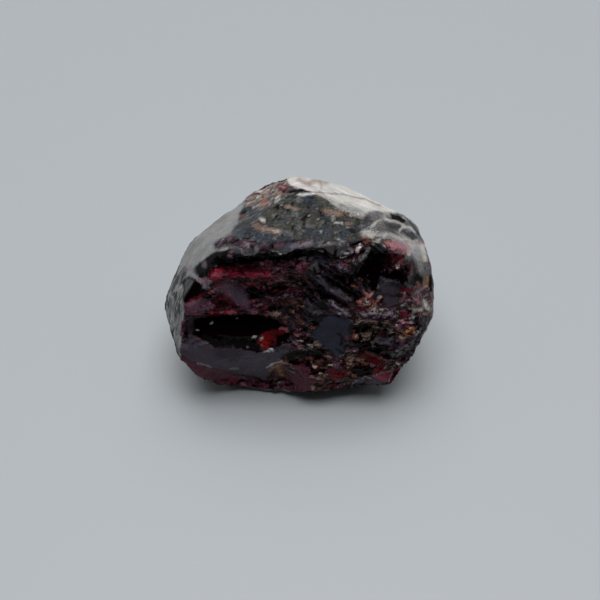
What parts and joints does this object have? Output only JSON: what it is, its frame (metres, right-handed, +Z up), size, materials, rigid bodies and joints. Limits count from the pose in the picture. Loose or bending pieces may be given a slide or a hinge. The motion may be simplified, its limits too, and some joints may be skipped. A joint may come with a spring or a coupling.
{
  "type": "garnet crystal",
  "caption": "Rough dark red garnet crystal with matt natural faces and a steep glassy broken front, resting on a flat crystal face.",
  "frame": {"origin": "middle of the crystal's box at the ground it rests on", "axes": "+Z up, +X to the right along the crystal's longest side, -Y towards the broken front"},
  "size_m": [0.0298, 0.0224, 0.0214],
  "materials": {
    "garnet": "glassy on the break, matt to satin on the natural faces"
  },
  "bodies": {
    "root": {"garnet_crystal": "garnet"}
  },
  "joints": []
}
